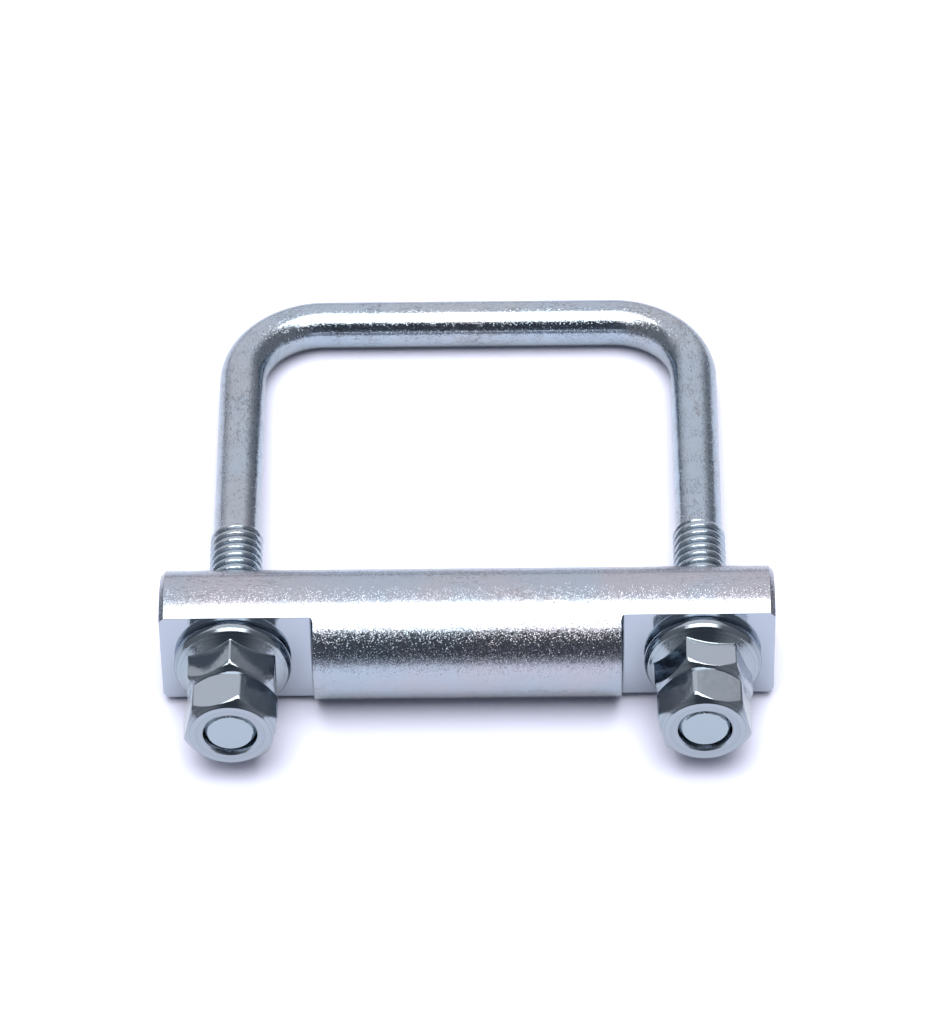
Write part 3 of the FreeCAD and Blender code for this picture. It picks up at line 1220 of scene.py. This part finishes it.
@dataclass
class FlangeNut(HexNut):
    """A nut with a domed flange that bears on the bar.

    Args:
        heel: Radius under the flange's rim.
        crown: Height of its sloping face at the foot of the flats.
    """

    flange_radius: float = 8.6
    heel: float = 0.8
    crown: float = 3.15
    slope: float = 32.0
    shoulder_radius: float = 1.15
    curve_steps: int = 8
    root_rounding: float = 0.25

    def outline(self, flat_radius: float) -> list[Point]:
        """Gives the half-section: the flange, and what every nut ends with.

        Args:
            flat_radius: How far from the nut's axis its side stands there.

        Returns:
            The points' radii and heights.
        """
        root_height = self.face_height(flat_radius)
        edge_height = self.face_height(self.flange_radius)
        return rounded([
            Corner(self.mouth, 0),
            Corner(self.flange_radius, 0, self.heel, self.curve_steps),
            Corner(self.flange_radius, edge_height, self.shoulder_radius, self.curve_steps),
            Corner(flat_radius, root_height, self.root_rounding),
            *self.front_and_bore(flat_radius)])

    def face_height(self, radius: float) -> float:
        """Height of the flange's sloping face at a radius."""
        return self.crown - (radius - self.apothem) * math.tan(math.radians(self.slope))


@dataclass
class LockNut(HexNut):
    """A plain nut, chamfered on both faces, jammed against the flange nut."""

    height: float = 6.75
    corner_rounding: float = 0.8
    face_inset: float = 0.5

    def outline(self, flat_radius: float) -> list[Point]:
        """Gives the half-section: the rear face, and what every nut ends with.

        Args:
            flat_radius: How far from the nut's axis its side stands there.

        Returns:
            The points' radii and heights.
        """
        drop, worn = self.chamfer(flat_radius)
        return rounded([
            Corner(self.mouth, 0),
            Corner(self.face_radius, 0, self.edge),
            Corner(flat_radius, drop, worn),
            *self.front_and_bore(flat_radius)])


# -------- the studio

@dataclass(frozen=True)
class Studio:
    """A white table under a wide soft light, in front of a pale backdrop.

    The room's light is told by direction. Heights are in degrees from the near horizon, up over
    the clamp, to the far horizon at 180. Places to the side run from -1, left, to 1, right.

    Args:
        aside: Where to the side the room turns into its sides.
        far_wall: A low pale strip behind the camera.
        wall_foot: Heights over which it comes in.
        wall_top: Heights over which it goes out.
        table: Its white as metal mirrors it.
        table_seen: Its white as the camera sees it.
        table_bounce_shade: Painted shade: a much darker white for light that was scattered before,
            which deepens the shadows under and around the clamp.
        table_painted_falloff: Painted light: how much darker the table's mirror image is painted
            away from the clamp, as if a near light made a pool of light round it.
        painted_falloff_reach: Distances in metres over which that painted falloff comes in.
    """

    light_start: float = 59.0
    light_end: float = 108.5
    light_blur: float = 5.0
    light: Colour = (4.6, 4.55, 4.5)
    light_reach: float = 0.40
    light_side_blur: float = 0.12
    room: Colour = (0.07, 0.08, 0.10)
    room_sides: Colour = (0.26, 0.27, 0.30)
    aside: Span = (0.15, 0.60)
    far_wall: Colour = (0.50, 0.54, 0.60)
    wall_foot: Span = (1.0, 2.0)
    wall_top: Span = (4.0, 6.0)
    backdrop: Colour = (1.02, 1.0, 1.05)
    backdrop_left: float = -0.71
    backdrop_right: float = 0.50
    side_blur: float = 0.22
    table: Colour = (0.93, 0.96, 1.08)
    table_seen: Colour = (1.10, 1.13, 1.36)
    table_bounce_shade: Colour = (0.20, 0.20, 0.24)
    table_painted_falloff: float = 0.85
    painted_falloff_reach: Span = (0.03, 0.28)
    table_size: float = 8.0

    def build(self) -> None:
        """Makes the world, the table and the camera."""
        self.build_world()
        self.build_table()
        self.build_camera()

    def build_world(self) -> None:
        """Makes the light of the room by direction."""
        world = bpy.data.worlds.new("studio")
        bpy.context.scene.world = world
        world.use_nodes = True
        graph = Graph(world.node_tree)
        x, y, z = graph.node("TexCoord", {}, {}, output="Generated").axes()
        height = graph.math("ARCTAN2", z, 0.0 - y) * math.degrees(1.0)
        up_to_light = height.past(self.light_start, self.light_blur)
        behind = height.past(self.light_end, self.light_blur)
        light = up_to_light * (1.0 - behind) * self.between(
            x, -self.light_reach, self.light_reach, self.light_side_blur)
        backdrop = behind * self.between(
            x, self.backdrop_left, self.backdrop_right, self.side_blur)
        aside = abs(x).stepped(*self.aside)
        wall = height.stepped(*self.wall_foot) * (1.0 - height.stepped(*self.wall_top))
        seen = graph.node("LightPath", {}, {}, output="Is Camera Ray")
        colour = graph.layered(self.room, (aside, self.room_sides), (wall, self.far_wall),
                               (backdrop, self.backdrop), (light, self.light), (seen, WHITE))
        background = graph.node("Background", {}, {"Color": colour, "Strength": 1.0})
        graph.node("OutputWorld", {}, {"Surface": background})

    @staticmethod
    def between(x: Signal, left: float, right: float, blur: float) -> Signal:
        """Is 1 between two limits to the left and the right, with soft edges."""
        return x.past(left, blur) * (1.0 - x.past(right, blur))

    def build_table(self) -> None:
        """Makes the table that the clamp lies on."""
        mesh = bmesh.new()
        bmesh.ops.create_grid(mesh, x_segments=1, y_segments=1, size=self.table_size / 2)
        bmesh.ops.translate(mesh, verts=mesh.verts, vec=(0, 0, cad_box[0][2]))
        table = as_object(mesh, "table")
        material = bpy.data.materials.new("white_table")
        material.use_nodes = True
        graph = Graph(material.node_tree)
        paint = graph.node("BsdfDiffuse", {}, {"Color": self.table_colour(graph)})
        graph.node("OutputMaterial", {}, {"Surface": paint})
        table.data.materials.append(material)

    def table_colour(self, graph: Graph) -> Signal:
        """Gives the table's white as it is seen, as metal mirrors it with a painted falloff of
        light away from the clamp, and as a painted shade for light scattered before.

        Args:
            graph: The table's nodes.

        Returns:
            The colour.
        """
        place = graph.node("TexCoord", {}, {}, output="Object")
        away = graph.vector("LENGTH", place, output=1)
        # Painted light: the table's white as metal mirrors it darkens away from the clamp, a
        # painted pool of light round it.
        painted_falloff = away.stepped(*self.painted_falloff_reach) * self.table_painted_falloff
        seen = graph.node("LightPath", {}, {}, output="Is Camera Ray")
        # Painted shade: after a diffuse bounce the table turns much darker, which deepens the
        # shadows under and around the clamp.
        bounces = graph.node("LightPath", {}, {}, output="Diffuse Depth")
        return graph.layered(self.table, (painted_falloff, BLACK),
                             (bounces.stepped(0.0, 1.0), self.table_bounce_shade),
                             (seen, self.table_seen))

    @staticmethod
    def build_camera() -> None:
        """Stands the camera in front of the clamp, looking down on it."""
        aim = Vector((-0.0001, 0.0230, 0.0))
        distance = 0.94806
        elevation = math.radians(50.44)
        azimuth = math.radians(1.06)
        roll = math.radians(-1.36)
        data = bpy.data.cameras.new("camera")
        data.sensor_width = 36.0
        data.lens = 223.74
        camera = bpy.data.objects.new("camera", data)
        bpy.context.scene.collection.objects.link(camera)
        look = (Matrix.Rotation(azimuth, 4, "Z")
                @ Matrix.Rotation(QUARTER_TURN - elevation, 4, "X")
                @ Matrix.Rotation(roll, 4, "Z"))
        away = Matrix.Translation((0, 0, distance))
        camera.matrix_world = Matrix.Translation(aim) @ look @ away
        bpy.context.scene.camera = camera


# -------- the clamp

NUTS = {
    "flange_nut_left": (FlangeNut, 0.0),
    "lock_nut_left": (LockNut, 12.0),
    "flange_nut_right": (FlangeNut, -20.0),
    "lock_nut_right": (LockNut, -12.0),
}


def main() -> None:
    """Builds and dresses every piece, and sets the studio."""
    logging.basicConfig(level=logging.INFO, format="%(message)s")
    leg = joint_place("flange_nut_right_turn")
    half_length = max(abs(corner[0]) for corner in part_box("clamp_bar")) / MM
    parts = [UBolt(leg.x, leg.z), ClampBar(leg.x, half_length)]
    for name, (kind, lean) in NUTS.items():
        parts.append(kind(name, joint_place(f"{name}_turn"), lean))
    for part in parts:
        piece = part.build()
        part.dress(piece)
        LOG.info("%s: %d faces", piece.name, len(piece.data.polygons))
    Studio().build()
    bpy.context.scene.view_settings.view_transform = "Standard"


if __name__ == "__main__":
    main()
